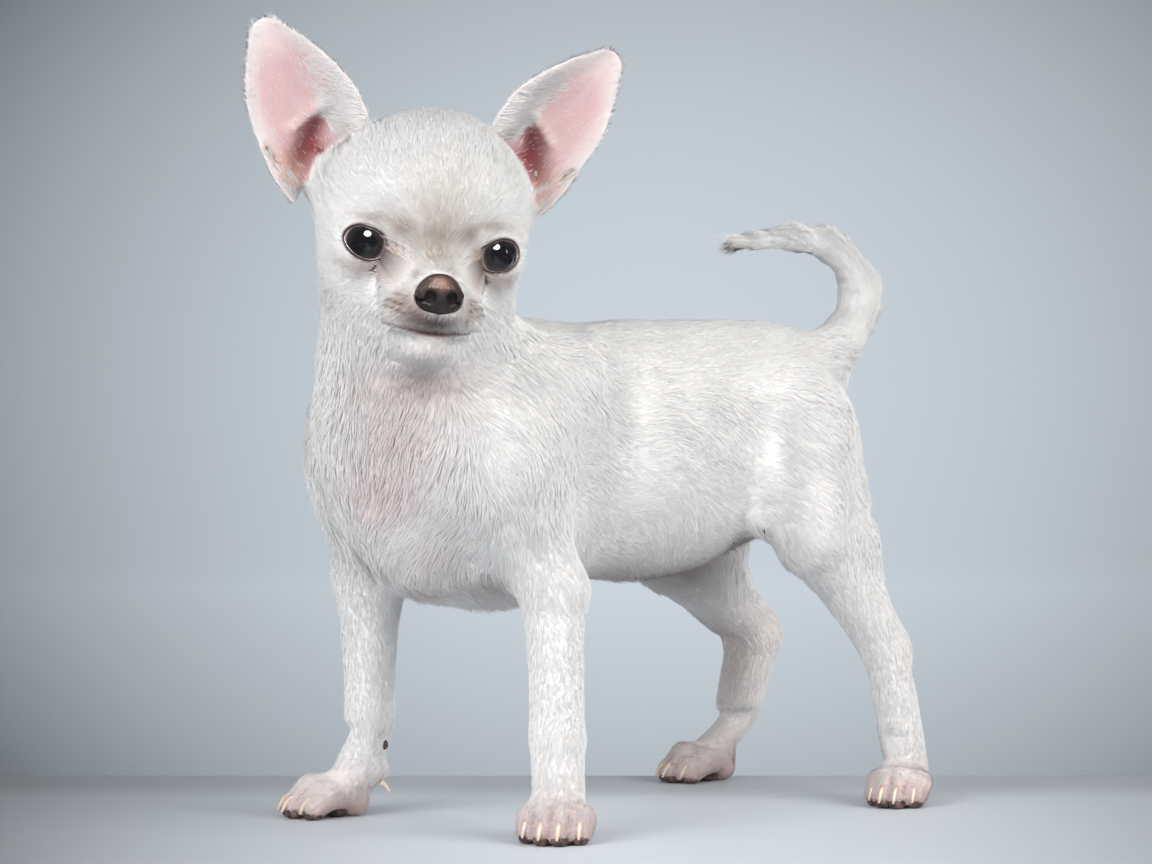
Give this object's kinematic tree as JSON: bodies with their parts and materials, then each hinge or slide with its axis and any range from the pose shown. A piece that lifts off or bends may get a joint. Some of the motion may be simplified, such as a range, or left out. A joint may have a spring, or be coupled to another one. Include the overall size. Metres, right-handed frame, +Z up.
{
  "type": "chihuahua puppy",
  "caption": "Smooth-coated white chihuahua puppy standing on all fours, head turned to its left, ears up, tail curled over the back.",
  "frame": {"origin": "on the floor, under the middle of the whole model seen from above", "axes": "+Z up from the floor; the trunk lies along Y with the chest to -Y and the tail to +Y; +X is to the dog's left"},
  "size_m": [0.1266, 0.2582, 0.2521],
  "materials": {
    "coat": "short smooth white hair over pink skin",
    "ear_skin": "thin pink skin with sparse white hair",
    "nose_leather": "moist, finely pebbled, dark brown",
    "eye": "wet gloss, near black",
    "claw_horn": "pale satin horn"
  },
  "bodies": {
    "root": {"head": "coat", "neck": "coat", "torso": "coat", "tail_base": "coat", "tail_middle": "coat", "tail_tip": "coat", "leg_fore_left_upper": "coat", "leg_fore_left_lower": "coat", "leg_fore_right_upper": "coat", "leg_fore_right_lower": "coat", "leg_hind_left_upper": "coat", "leg_hind_left_lower": "coat", "leg_hind_left_pastern": "coat", "leg_hind_right_upper": "coat", "leg_hind_right_lower": "coat", "leg_hind_right_pastern": "coat", "paw_fore_left": "coat", "paw_fore_right": "coat", "paw_hind_left": "coat", "paw_hind_right": "coat", "ear_left": "ear_skin", "ear_right": "ear_skin", "nose": "nose_leather", "eye_left": "eye", "eye_right": "eye", "claw_fore_left_1": "claw_horn", "claw_fore_left_2": "claw_horn", "claw_fore_left_3": "claw_horn", "claw_fore_left_4": "claw_horn", "claw_fore_right_1": "claw_horn", "claw_fore_right_2": "claw_horn", "claw_fore_right_3": "claw_horn", "claw_fore_right_4": "claw_horn", "claw_hind_left_1": "claw_horn", "claw_hind_left_2": "claw_horn", "claw_hind_left_3": "claw_horn", "claw_hind_left_4": "claw_horn", "claw_hind_right_1": "claw_horn", "claw_hind_right_2": "claw_horn", "claw_hind_right_3": "claw_horn", "claw_hind_right_4": "claw_horn", "dewclaw_fore_left": "claw_horn", "dewclaw_fore_right": "claw_horn"}
  },
  "joints": []
}
